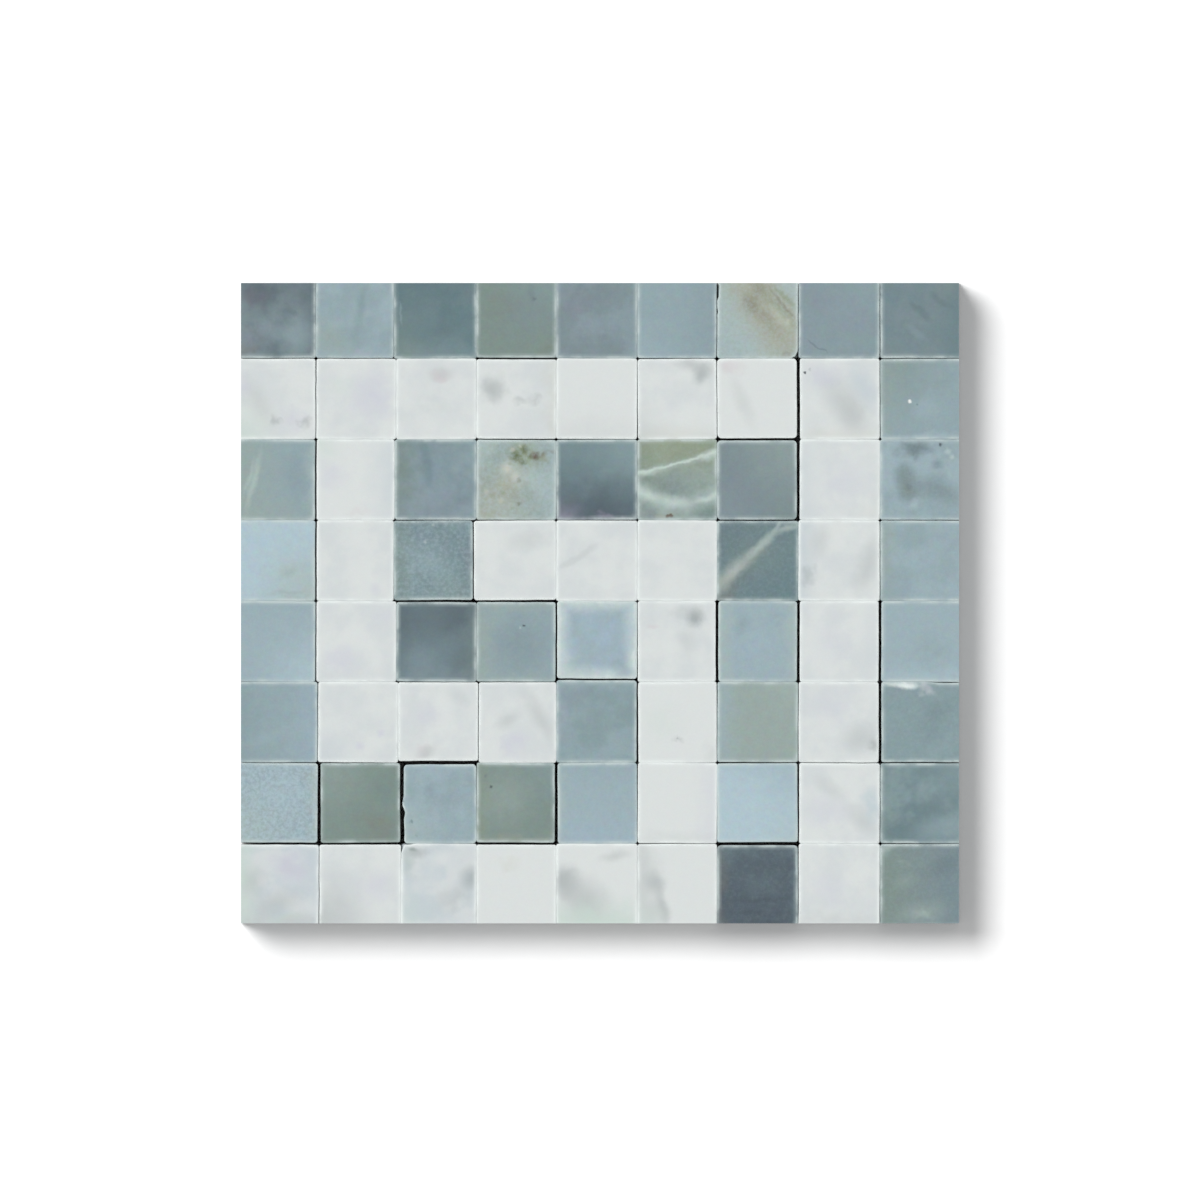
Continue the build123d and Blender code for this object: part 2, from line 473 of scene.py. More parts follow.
    (3, 8): ("milk", "chalk", 0, (
        side("pearl", "left", 4, 0.4),
        patch("lily", 0.55, 0.5, 9, 8, 0.5),
        side("cream", "bottom right", 4, 0.2),
    )),
    (3, 9): ("haze", "mist", 0.1, (
        patch("pewter", 0.4, 0.12, 8, 3.4, 0.9, turn=10),
        smear("storm", (0.25, 0.08), (0.65, 0.12), 2, 0.5),
        band("pewter", (0.25, 0.32), (0.4, 0.8), 3.6, 0.9),
        smear("moss", (0.26, 0.3), (0.36, 0.8), 2.6, 0.5),
        smear("olive", (0.32, 0.45), (0.36, 0.7), 1.6, 0.12),
        spot("storm", 0.34, 0.6, 1.6, 0.5, 0.9),
        smear("pewter", (0.3, 0.5), (1.1, 0.75), 3.6, 0.75),
        patch("haze", 0.2, 0.25, 5, 4, 0.5),
        spot("soot", 0.74, 0.06, 0.8, 0.9, 0.8),
        spot("storm", 0.7, 0.3, 2.6, 0.45, 1),
        spot("frost", 0.83, 0.15, 1.6, 0.4, 0.9),
        spot("frost", 0.88, 0.22, 1.2, 0.4, 0.9),
        smear("ice", (0.3, 0.88), (0.52, 0.74), 1.4, 0.5),
        side("mist", "bottom", 3, 0.4),
    )),
    (4, 1): ("ice", "ice", 0, (
        side("celadon", "bottom right", 9, 0.8),
        smear("celadon", (0.45, 0.75), (0.95, 0.5), 2, 0.5),
        smear("sage", (0.55, 0.72), (0.8, 0.6), 1.4, 0.3),
        smear("sage", (0.4, 0.92), (0.95, 0.87), 0.8, 0.35),
        smear("sage", (0.5, 0.97), (0.95, 0.94), 0.6, 0.3),
    )),
    (4, 2): ("milk", "chalk", 0, (
        spot("lily", 0.75, 0.85, 3, 0.6, 1),
    )),
    (4, 3): ("steel", "river", 0.3, (
        side("moss", "left", 4, 0.6),
        side("moss", "bottom right", 6, 0.5),
        side("steel", "right", 5, 0.6),
        patch("mist", 0.4, 0.4, 9, 12, 0.45),
        patch("heather", 0.96, 0.5, 3, 5, 0.25),
        spot("frost", 0.4, 0.27, 1, 0.4, 0.9),
        spot("frost", 0.5, 0.06, 0.9, 0.35, 0.9),
    )),
    (4, 4): ("chalk", "milk", 0, (
        smear("cloud", (0.3, 0.3), (1, 0.2), 3, 0.35),
    )),
    (4, 5): ("milk", "chalk", 0, (
        vein("cloud", (0, 0.62), (0.5, 0.3), 1.4, 0.3),
    )),
    (4, 6): ("chalk", "milk", 0, (
        side("milk", "bottom", 5, 0.6),
    )),
    (4, 7): ("petrol", "petrol", 0.1, (
        patch("moss", 0.5, 0.4, 12, 10, 0.4),
        side("storm", "top left", 8, 0.4),
        side("teal", "bottom right", 8, 0.4),
        patch("umber", 0.06, 0.98, 7, 4, 0.35, turn=40),
        band("umber", (-0.05, 0.95), (0.4, 0.48), 4, 0.3),
        band("celadon", (-0.08, 0.9), (0.42, 0.42), 2.6, 0.6),
        smear("fawn", (-0.05, 0.86), (0.3, 0.58), 2, 0.4),
        smear("cloud", (0.05, 0.78), (0.4, 0.46), 1.4, 0.5),
        smear("fawn", (0.3, 0.58), (0.64, 0.24), 2.2, 0.4),
        band("celadon", (0.36, 0.48), (0.74, 0.12), 1.5, 0.85),
        band("celadon", (0.7, 0.16), (0.79, -0.04), 0.8, 0.7),
        band("sage", (0.72, 0.13), (1.04, 0.02), 1.3, 0.8),
        smear("celadon", (0.72, 0.12), (1, 0.05), 0.8, 0.5),
    )),
    (4, 8): ("milk", "chalk", 0, (
        side("pearl", "left", 3, 0.8),
        patch("ash", 0.1, 0.68, 3, 4, 0.45, turn=60),
        smear("cloud", (0.7, 1), (1, 0.15), 3.4, 0.5),
        smear("cloud", (0.2, 0.5), (0.34, 0), 3, 0.35),
    )),
    (4, 9): ("mist", "haze", 0, (
        side("sage", "left", 3, 0.7),
        side("mist", "bottom left", 6, 0.5),
        side("haze", "right", 6, 0.4),
    )),
    (5, 1): ("haze", "haze", 0, (
        side("ice", "bottom right", 8, 0.6),
        side("mist", "top", 4, 0.3),
    )),
    (5, 2): ("milk", "chalk", 0, (
        patch("lily", 0.3, 0.75, 8, 6, 0.8),
        patch("lily", 0.85, 0.2, 5, 5, 0.4),
    )),
    (5, 3): ("storm", "storm", 0, (
        smear("steel", (-0.1, 1), (0.8, 0.6), 10, 0.9),
        smear("dove", (0.1, 0.9), (0.5, 0.6), 5, 0.35),
        smear("steel", (0.2, 0.9), (1.05, 0.3), 4.5, 0.45),
        patch("slate", 0.8, 0.15, 8, 6, 0.4, turn=40),
        patch("slate", 0.1, 0.2, 6, 6, 0.25),
        side("dove", "bottom", 2.5, 0.4),
        side("moss", "right", 2.5, 0.3),
    )),
    (5, 4): ("mist", "mist", 0, (
        patch("pewter", 0.55, 0.55, 12, 12, 0.5),
        side("sage", "left", 4.5, 0.8),
        side("sage", "top", 2.6, 0.7),
        side("sage", "bottom", 2, 0.5),
        spot("soot", 0.6, 0.3, 0.6, 0.8, 0.8),
        spot("frost", 0.55, 0.32, 0.7, 0.4, 0.9),
    )),
    (5, 5): ("powder", "haze", 0, (
        border("frost", 3.4, 0.85),
        border("rime", 0.9, 0.45),
        side("frost", "bottom left", 5, 0.5),
        patch("dove", 0.8, 0.85, 4, 3, 0.3),
    )),
    (5, 6): ("milk", "chalk", 0, (
        spot("ash", 0.73, 0.2, 4.4, 0.95, 1),
        smear("cloud", (0.66, 0.3), (0.6, 0.7), 3.4, 0.3),
        patch("cloud", 0.62, 0.12, 7, 3, 0.35),
        smear("rose", (0.1, 0.3), (0.3, 0.3), 0.8, 0.4),
    )),
    (5, 7): ("haze", "haze", 0, (
        side("celadon", "left", 3, 0.7),
        side("celadon", "right", 2.6, 0.7),
        smear("river", (0.22, 0.42), (0.4, 0.16), 2.4, 0.45),
        patch("mist", 0.72, 0.22, 3.6, 3, 0.5),
        patch("powder", 0.5, 0.55, 9, 6, 0.3),
    )),
    (5, 8): ("chalk", "milk", 0, (
        patch("lily", 0.4, 0.5, 9, 10, 0.35),
        side("pearl", "right", 3, 0.3),
    )),
    (5, 9): ("haze", "haze", 0, (
        patch("mist", 0.6, 0.6, 8, 8, 0.5),
        patch("river", 0.75, 0.65, 4, 3, 0.2),
        side("ice", "bottom", 3, 0.4),
    )),
    (6, 1): ("mist", "mist", 0, (
        side("river", "left", 5, 0.6),
        side("powder", "right", 6, 0.4),
        vein("haze", (0, 0.8), (1, 0.5), 3, 0.3),
    )),
    (6, 2): ("milk", "chalk", 0, (
        side("pearl", "bottom left", 6, 0.5),
        spot("lily", 0.78, 0.64, 1.8, 0.9, 0.9),
        spot("lily", 0.52, 0.8, 2, 0.9, 0.9),
    )),
    (6, 3): ("chalk", "milk", 0, (
        patch("lily", 0.35, 0.4, 7, 5, 0.6),
        smear("cloud", (0.24, 1), (0.46, 0.8), 2.2, 0.6),
        patch("rose", 0.3, 0.88, 4, 2, 0.3, turn=20),
        smear("cloud", (0.6, 0.1), (0.95, 0.3), 2, 0.2),
    )),
    (6, 4): ("milk", "chalk", 0, (
        smear("cloud", (0.55, 0.05), (1, 0.8), 2.6, 0.5),
        smear("cloud", (0.2, 0.58), (0.55, 0.36), 2.2, 0.45),
        patch("lily", 0.45, 0.75, 5, 5, 1),
    )),
    (6, 5): ("river", "mist", 0, (
        patch("dove", 0.2, 0.2, 8, 7, 0.7),
        patch("lilac", 0.06, 0.5, 2.2, 8, 0.3),
        side("haze", "top", 2, 0.4),
    )),
    (6, 6): ("milk", "milk", 0, (
        patch("cloud", 0.52, 0.74, 2, 1.6, 0.5),
        spot("ash", 0.5, 0.7, 0.6, 0.5, 0.8),
        patch("mint", 0.3, 0.5, 8, 8, 0.25),
        side("cloud", "bottom right", 2.5, 0.3),
    )),
    (6, 7): ("sage", "sage", 0, (
        side("haze", "left", 3.6, 0.7),
        side("celadon", "top right", 5, 0.4),
    )),
    (6, 8): ("chalk", "milk", 0, (
        patch("lily", 0.4, 0.3, 9, 7, 0.5),
        patch("cloud", 0.96, 0.76, 4, 4.4, 0.9),
        patch("ash", 0.98, 0.78, 2.4, 3, 0.4),
        smear("cloud", (0.5, 0.8), (1, 0.62), 4.4, 0.5),
    )),
    (6, 9): ("river", "river", 0.1, (
        patch("pewter", 0.65, 0.35, 6, 5, 0.5, turn=50),
        smear("steel", (0.4, 0.6), (1, 0.2), 3, 0.35),
        smear("steel", (0.5, 0.8), (0.8, 0.55), 3, 0.35),
        smear("mist", (0.5, 1), (0.95, 0.6), 3, 0.35),
        smear("dove", (0, 0.12), (0.5, 0.14), 2.2, 0.5),
        band("frost", (-0.05, 0.03), (0.43, 0.04), 0.7, 0.85),
        smear("rime", (0.1, 0.045), (0.5, 0.045), 1, 0.85),
        patch("lily", 0.56, 0.06, 2.6, 2, 0.5, turn=60),
        smear("lily", (0.54, 0.05), (0.66, 0.16), 1.2, 0.35),
        smear("storm", (0.6, 0.005), (1, 0.005), 0.5, 0.6),
    )),
    (7, 1): ("haze", "haze", 0.75, (
        side("celadon", "bottom left", 8, 0.7),
        side("celadon", "right", 2, 0.7),
        patch("ice", 0.6, 0.4, 9, 8, 0.3),
    )),
    (7, 2): ("moss", "moss", 0, (
        side("sage", "top left", 8, 0.5),
        patch("umber", 0.72, 0.8, 8, 5, 0.3),
        patch("teal", 0.75, 0.3, 6, 6, 0.2),
    )),
    (7, 3): ("haze", "mist", 0.1, (
        side("celadon", "bottom left", 6, 0.6),
        side("haze", "bottom", 4, 0.4),
        side("haze", "top left", 5, 0.4),
        patch("dove", 0.55, 0.4, 7, 5, 0.3),
        spot("storm", 0.14, 0.72, 0.9, 0.6, 0.9),
        spot("moss", 0.2, 0.9, 0.7, 0.3, 0.9),
        band("rime", (0.005, 0.02), (0.005, 0.46), 0.4, 0.6),
        band("rime", (0, 0.46), (0.03, 0.6), 0.6, 0.8),
        band("rime", (0.03, 0.58), (0.02, 1), 0.5, 0.8),
        spot("soot", 0.04, 0.46, 0.5, 0.6, 0.8),
    )),
    (7, 4): ("moss", "moss", 0, (
        patch("sage", 0.35, 0.45, 12, 12, 0.5),
        side("river", "top right", 6, 0.6),
        side("olive", "left", 2.6, 0.3),
        side("fawn", "bottom", 1.6, 0.3),
        spot("soot", 0.19, 0.3, 0.8, 0.8, 0.9),
        spot("storm", 0.12, 0.17, 0.9, 0.4, 0.9),
    )),
    (7, 5): ("haze", "haze", 0, (
        side("powder", "bottom", 6, 0.5),
        side("mist", "top", 5, 0.4),
        side("celadon", "left", 1.6, 0.5),
    )),
    (7, 6): ("milk", "milk", 0, (
        side("lily", "right", 4, 0.5),
        side("cloud", "bottom", 2, 0.2),
    )),
    (7, 7): ("ice", "ice", 0, (
        side("haze", "top right", 8, 0.5),
        side("celadon", "bottom right", 5, 0.35),
        side("haze", "top", 3, 0.3),
    )),
    (7, 8): ("chalk", "milk", 0, (
        patch("lily", 0.35, 0.6, 9, 7, 0.6),
        smear("cloud", (0.15, 0.15), (0.6, 0.45), 2.4, 0.35),
        smear("cloud", (0.55, 0.5), (1, 0.9), 3, 0.4),
        patch("ice", 0.9, 0.5, 3.6, 6, 0.45),
    )),
    (7, 9): ("river", "petrol", 0, (
        side("moss", "left", 3.5, 0.3),
        side("river", "top right", 7, 0.7),
        smear("mist", (0.3, 0.95), (1, 0.7), 4, 0.5),
        side("mist", "bottom right", 5, 0.4),
    )),
    # Several stones of the bottom course are greyer towards the bottom edge of the sheet
    (8, 1): ("pearl", "chalk", 0, (
        side("mint", "left", 3.5, 0.9),
        smear("cloud", (0.12, 0.7), (0.26, 0.2), 4, 0.5),
        patch("lily", 0.66, 0.3, 7, 7, 1),
        patch("lilac", 0.66, 0.28, 6, 5, 0.2),
        smear("cloud", (0.1, 0.85), (0.85, 0.6), 4, 0.6),
        patch("mint", 0.6, 0.88, 7, 3, 0.6),
        patch("ice", 0.55, 0.8, 6, 3, 0.25),
        side("cloud", "bottom", 3, 0.6),
    )),
    (8, 2): ("milk", "chalk", 0, (
        side("cloud", "bottom left", 8, 0.7),
        patch("lily", 0.7, 0.5, 7, 7, 0.7),
    )),
    (8, 3): ("pearl", "chalk", 0, (
        side("chalk", "top right", 5, 0.9),
        smear("ash", (0.78, 0.3), (1.02, 0.5), 3.6, 0.7),
        patch("cloud", 0.7, 0.65, 9, 5, 0.5, turn=30),
        patch("celadon", 0.12, 0.2, 5, 6, 0.5),
        side("mint", "bottom left", 6, 0.4),
        smear("ash", (0.05, 0.06), (0.4, 0.1), 2, 0.6),
        smear("moss", (0.1, 0.03), (0.26, 0.05), 0.7, 0.6),
        spot("rime", 0.02, 0.42, 1.2, 0.7, 0.9),
        smear("milk", (0.3, 0.14), (0.75, 0.16), 2.4, 0.7),
    )),
    (8, 4): ("milk", "milk", 0, (
        patch("cream", 0.4, 0.2, 4, 2.4, 0.3),
    )),
    (8, 5): ("milk", "milk", 0, (
        smear("ash", (-0.15, 0.3), (0.3, 0.6), 5, 0.75),
        smear("cloud", (0.05, 0.4), (0.65, 1.05), 7, 0.8),
        side("mint", "bottom", 4.5, 0.9),
        smear("cloud", (0.5, 0.18), (0.95, 0.1), 1.8, 0.5),
        patch("cloud", 0.1, 0.5, 5, 6, 0.4),
    )),
    (8, 6): ("milk", "milk", 0, (
        side("cloud", "left", 4, 0.5),
        smear("ash", (0.12, 0.3), (0.3, 0.62), 3.2, 0.5),
        smear("ash", (0.26, 0.45), (0.38, 1.1), 2, 0.55),
        smear("cloud", (0.16, 0.6), (0.26, 1.05), 3.4, 0.4),
        side("mint", "bottom left", 4, 0.5),
    )),
    (8, 7): ("slate", "slate", 0.06, (
        side("petrol", "top left", 5, 0.5),
        side("storm", "top", 3, 0.5),
        patch("storm", 0.55, 0.45, 10, 6, 0.45),
        side("umber", "left", 2, 0.25),
        side("petrol", "right", 1.6, 0.4),
        smear("soot", (0.05, 0.66), (0.95, 0.68), 0.8, 0.25),
        smear("soot", (0.05, 0.82), (0.9, 0.84), 1, 0.3),
        smear("soot", (0.3, 0.96), (0.95, 0.95), 1, 0.35),
        vein("mist", (0.98, 0.1), (0.985, 0.34), 0.7, 0.8),
    )),
    (8, 8): ("chalk", "milk", 0, (
        patch("lily", 0.4, 0.55, 8, 8, 0.5),
        side("cloud", "bottom", 2.5, 0.3),
    )),
    (8, 9): ("pewter", "pewter", 0.08, (
        side("moss", "left", 9, 1),
        side("steel", "right", 5, 0.6),
        smear("storm", (0.5, 0.4), (1.05, 0.1), 3.4, 0.45),
        smear("steel", (0.75, 0.3), (0.85, 0.9), 2.2, 0.4),
        smear("sage", (0.1, 0.9), (0.9, 0.8), 3.6, 0.6),
        smear("sage", (0.12, 0.5), (0.45, 0.4), 2.4, 0.4),
        patch("sage", 0.3, 0.2, 3, 2, 0.35),
        side("celadon", "top left", 2, 0.7),
        patch("celadon", 0.5, 0.88, 3, 1.6, 0.4),
    )),
}

# How strong the mottling and the grain of a marble are, the painted shade at the foot of its arris and
# on its joint walls, and the tones of its pale rims (bruised stone with a painted highlight) and of
# the pale and dark flecks in granular stones
MARBLES = {
    "blue": {
        "mottle": 0.26, "grain": 0.16, "arris_shade": 0.5, "wall_shade": 0.9,
        "rim": "frost", "flecks": ("ice", "storm"),
    },
    "white": {
        "mottle": 0.07, "grain": 0.06, "arris_shade": 0.15, "wall_shade": 0.4,
        "rim": "rime", "flecks": ("milk", "cloud"),
    },
}

# Corners: the stones worn round, and those that are only softened
WORN_STONES = {(2, 7), (3, 7), (7, 3), (8, 7)}
SOFT_STONES = {
    (1, 7), (2, 6), (3, 3), (4, 3), (4, 4), (5, 5), (5, 7), (6, 5), (7, 1), (7, 5), (8, 9),
}

# Joints that the picture shows narrower or wider than drawn: millimetres that a stone is let out
# to its left, right, bottom and top, or taken in where there is a minus
EASED = {
    (1, 3): (0, 0.04, 0, 0),
    (1, 4): (0.04, 0.05, 0, 0),
    (1, 5): (0.05, 0, 0, 0),
    (2, 1): (0, 0.07, 0, 0),
    (2, 2): (0.07, 0, 0, 0),
    (2, 4): (0, 0, 0.05, 0),
    (2, 7): (0, -0.05, -0.05, 0),
    (2, 8): (-0.05, 0, 0, 0),
    (3, 4): (0, 0, 0, 0.05),
    (3, 7): (0, -0.03, 0.04, -0.05),
    (4, 3): (0, 0.05, -0.04, 0),
    (4, 4): (0.05, 0, -0.04, 0),
    (4, 7): (0.04, 0, 0, 0.04),
    (5, 1): (0, 0.05, 0, 0),
    (5, 2): (0.05, 0, 0, 0),
    (5, 3): (0, 0, 0, -0.04),
    (5, 4): (0, 0, 0, -0.04),
    (6, 3): (0, 0, -0.1, 0),
    (6, 7): (0, 0, 0.05, 0),
    (6, 9): (0, 0, 0.05, 0),
    (7, 1): (0, -0.04, -0.05, 0),
    (7, 2): (-0.04, 0.16, -0.04, 0),
    (7, 3): (0, 0.04, 0, -0.06),
    (7, 4): (0.05, -0.04, -0.05, 0),
    (7, 6): (0, 0.05, 0, 0),
    (7, 7): (0.05, 0, -0.03, 0.05),
    (7, 9): (0, 0, 0, 0.05),
    (8, 1): (0, 0, 0, -0.05),
    (8, 2): (0, 0, 0, -0.04),
    (8, 4): (0, 0, 0, -0.05),
    (8, 7): (0, 0, 0, -0.03),
    (8, 9): (0.04, 0, 0, 0),
}

# Bites out of edges and corners: place across and down, push in millimetres (right, up), reach, and
# whether it runs the full depth of the stone
BITES = {
    (1, 7): (
        (0, 0.14, 0.35, 0, 0.9, False),
        (0, 0.24, 0.3, 0, 0.7, False),
        (0, 0.42, 0.15, 0, 0.6, False),
        (1, 1, -0.35, 0.3, 1.2, False),
    ),
    (7, 3): (
        (0, 0.5, -0.22, 0, 1.2, True),
        (0, 0.62, 0.26, 0, 1.5, True),
        (0, 0.85, 0.1, 0, 3, True),
    ),
    (8, 3): (
        (0.01, 0.03, 0.4, -0.3, 1.4, False),
        (0.12, 0, 0, -0.2, 1, False),
    ),
    (6, 9): (
        (0.8, 0, 0, -0.16, 5, False),
    ),
}

# How deep the shallowest mark runs into the stone, and how far apart in the quarry the stones were
# cut, in millimetres
LEAST_DEPTH_MM = 2.5
BLOCK_MM = 400

# Share of the way to the sawn sides from which a wall counts as one of them
ON_OUTLINE = 0.9997


def is_outer(course, column):
    """True for the stones that the saw cut to square the sheet."""
    return course in (1, COURSES) or column in (1, COLUMNS)


def put(tree, kind, sockets=None, **settings):
    """Adds a node. A socket takes a number, a colour or the output of another node."""
    node = tree.nodes.new(kind)
    for setting, value in settings.items():
        setattr(node, setting, value)
    for socket, value in (sockets or {}).items():
        if isinstance(value, bpy.types.NodeSocket):
            tree.links.new(value, node.inputs[socket])
        else:
            node.inputs[socket].default_value = value
    return node


def number(tree, operation, *values, clamp=False):
    """A sum, product or other result of numbers."""
    sockets = dict(enumerate(values))
    return put(tree, "ShaderNodeMath", sockets, operation=operation, use_clamp=clamp).outputs[0]


def vector(tree, operation, *values):
    """A sum or product of vectors."""
    return put(tree, "ShaderNodeVectorMath", dict(enumerate(values)), operation=operation).outputs[0]


def scaled(tree, colour, amount):
    """A colour made brighter or darker by a number."""
    sockets = {0: colour, "Scale": amount}
    return put(tree, "ShaderNodeVectorMath", sockets, operation="SCALE").outputs[0]


def parts_of(tree, value):
    """The X, Y and Z of a vector."""
    return put(tree, "ShaderNodeSeparateXYZ", {0: value}).outputs


def spread(tree, value, start, end, low, high, soft=True):
    """Maps a value from start and end to low and high, and holds it there."""
    return put(
        tree, "ShaderNodeMapRange",
        {"Value": value, "From Min": start, "From Max": end, "To Min": low, "To Max": high},
        interpolation_type="SMOOTHSTEP" if soft else "LINEAR",
    ).outputs[0]


def blend(tree, factor, first, second):
    """Mixes two colours."""
    return put(tree, "ShaderNodeMix", {0: factor, 6: first, 7: second}, data_type="RGBA").outputs[2]


def clouds(tree, place, scale, detail, roughness=0.5, stretch=None):
    """Noise of so many features to the millimetre."""
    if stretch:
        place = put(tree, "ShaderNodeMapping", {"Vector": place, "Scale": stretch}).outputs[0]
    return put(
        tree, "ShaderNodeTexNoise",
        {"Vector": place, "Scale": scale, "Detail": detail, "Roughness": roughness},
    )


def new_material(name):
    """An empty material and its node tree."""
    material = bpy.data.materials.new(name)
    material.use_nodes = True
    material.node_tree.nodes.clear()
    return material, material.node_tree


def finish(tree, colour, rough, relief, strength, depth, shine):
    """The surface shader, with a fine relief, joined to the output."""
    sockets = {"Height": relief, "Strength": strength, "Distance": depth}
    bump = put(tree, "ShaderNodeBump", sockets).outputs[0]
    surface = put(
        tree, "ShaderNodeBsdfPrincipled",
        {"Base Color": colour, "Roughness": rough, "Normal": bump, "Specular IOR Level": shine},
    )
    put(tree, "ShaderNodeOutputMaterial", {"Surface": surface.outputs[0]})


def colour_of(name):
    """A tone of the palette, as a node's colour."""
    return (*getattr(bpy.context.scene.marble_tones, name), 1.0)


def in_millimetres(tree, centre):
    """Object coordinates in millimetres from a point on the sheet."""
    coordinates = put(tree, "ShaderNodeTexCoord").outputs["Object"]
    return put(
        tree, "ShaderNodeMapping",
        {"Vector": coordinates, "Location": [-c / MM for c in centre], "Scale": (1 / MM,) * 3},
    ).outputs[0]


def noise_shift(tree, block, scale):
    """Noise that moves a place to one side or the other."""
    return vector(tree, "SUBTRACT", clouds(tree, block, scale, 2).outputs[1], (0.5, 0.5, 0.5))


def shifted(tree, place, shift, far):
    """Moves a place across the stone by noise, at most half of so many millimetres."""
    return vector(tree, "MULTIPLY_ADD", shift, (far, far, 0.0), place)


def mark_amount(tree, ground, mark):
    """How much of the tone of a mark lies at each place."""
    shape, _, x, y, half_long, half_wide, turn, strength, edge = mark
    if shape == "border":
        parts = parts_of(tree, vector(tree, "ABSOLUTE", ground))
        reach = number(tree, "MAXIMUM", parts[0], parts[1])
        return spread(tree, reach, STONE_MM / 2 - half_wide, STONE_MM / 2, 0.0, strength)
    mapped = put(
        tree, "ShaderNodeMapping",
        {
            "Vector": ground, "Location": (x, y, 0.0), "Rotation": (0.0, 0.0, math.radians(turn)),
            "Scale": (half_long, half_wide, max(half_wide, LEAST_DEPTH_MM)),
        },
        vector_type="TEXTURE",
    ).outputs[0]
    if shape == "vein":
        parts = parts_of(tree, mapped)
        blunt = number(tree, "MULTIPLY", parts[0], parts[0])
        mapped = put(tree, "ShaderNodeCombineXYZ", {0: blunt, 1: parts[1], 2: parts[2]}).outputs[0]
    reach = put(tree, "ShaderNodeVectorMath", {0: mapped}, operation="LENGTH").outputs["Value"]
    return spread(tree, reach, 1.0 - edge, 1.0, strength, 0.0)


def draw_marks(tree, colour, marks, place, block):
    """Draws the veins, stains and specks of a stone, one over the other."""
    swirl = noise_shift(tree, block, 0.32)
    crumble = noise_shift(tree, block, 1.7)
    ragged = shifted(tree, place, crumble, 0.7)
    wavering = shifted(tree, ragged, swirl, 5.0)
    drawn = shifted(tree, shifted(tree, place, crumble, 0.3), swirl, 1.6)
    grounds = {"patch": wavering, "spot": ragged, "vein": drawn, "smear": drawn, "border": drawn}
    for mark in marks:
        shape, stain = mark[:2]
        colour = blend(tree, mark_amount(tree, grounds[shape], mark), colour, colour_of(stain))
    return colour


def polished_colour(tree, traits, look, place, block, fine):
    """Slow clouds between two tones, the marks over them, then mottling, flecks and grain."""
    first, second, flecks, marks = look
    slow = clouds(tree, block, 0.16, 3, 0.55).outputs[0]
    colour = blend(tree, spread(tree, slow, 0.34, 0.66, 0.0, 1.0), colour_of(first), colour_of(second))
    colour = draw_marks(tree, colour, marks, place, block)
    strength = traits["mottle"]
    mottle = clouds(tree, block, 0.7, 4, 0.7).outputs[1]
    mottle = vector(tree, "MULTIPLY_ADD", mottle, (strength,) * 3, (1 - strength / 2,) * 3)
    colour = vector(tree, "MULTIPLY", colour, mottle)
    if flecks:
        speck = clouds(tree, block, 1.35, 2, 0.65).outputs[0]
        pale, dark = traits["flecks"]
        for fleck, least, most, amount in ((pale, 0.42, 0.7, 0.85), (dark, 0.5, 0.25, 0.2)):
            shown = spread(tree, speck, least, most, 0.0, amount * flecks, soft=False)
            colour = blend(tree, shown, colour, colour_of(fleck))
    strength = traits["grain"]
    return scaled(tree, colour, number(tree, "MULTIPLY_ADD", fine, strength, 1 - strength / 2))


def pale_rims_and_arris_shade(tree, colour, traits, place, block, wall):
    """Pale rims on every side, partly bruised stone and partly a painted highlight, and painted shade
    at the foot of the arris.
    """
    # The pale rim, partly bruised stone and partly a painted highlight, pale on every side whatever
    # way the lamp shines
    rim = put(tree, "ShaderNodeAttribute", attribute_name="rim").outputs["Fac"]
    rim = number(tree, "SUBTRACT", rim, wall, clamp=True)
    patchy = spread(tree, clouds(tree, block, 0.25, 3).outputs[0], 0.36, 0.62, 0.28, 0.75)
    colour = blend(tree, number(tree, "MULTIPLY", rim, patchy), colour, colour_of(traits["rim"]))
    # Painted shade at the foot of the arris: a faint grey line where two stones meet
    arris_shading = spread(tree, parts_of(tree, place)[2], -0.03, -0.07, 0.0, traits["arris_shade"])
    return blend(tree, arris_shading, colour, colour_of("grime_and_shade"))


def inside_sheet(tree):
    """1 in the joints of the sheet and 0 on its sawn sides."""
    place = vector(tree, "ABSOLUTE", put(tree, "ShaderNodeTexCoord").outputs["Object"])
    parts = parts_of(tree, vector(tree, "MULTIPLY", place, (1 / SIDE_X, 1 / SIDE_Y, 0.0)))
    reach = number(tree, "MAXIMUM", parts[0], parts[1])
    return number(tree, "SUBTRACT", 1.0, number(tree, "GREATER_THAN", reach, ON_OUTLINE))


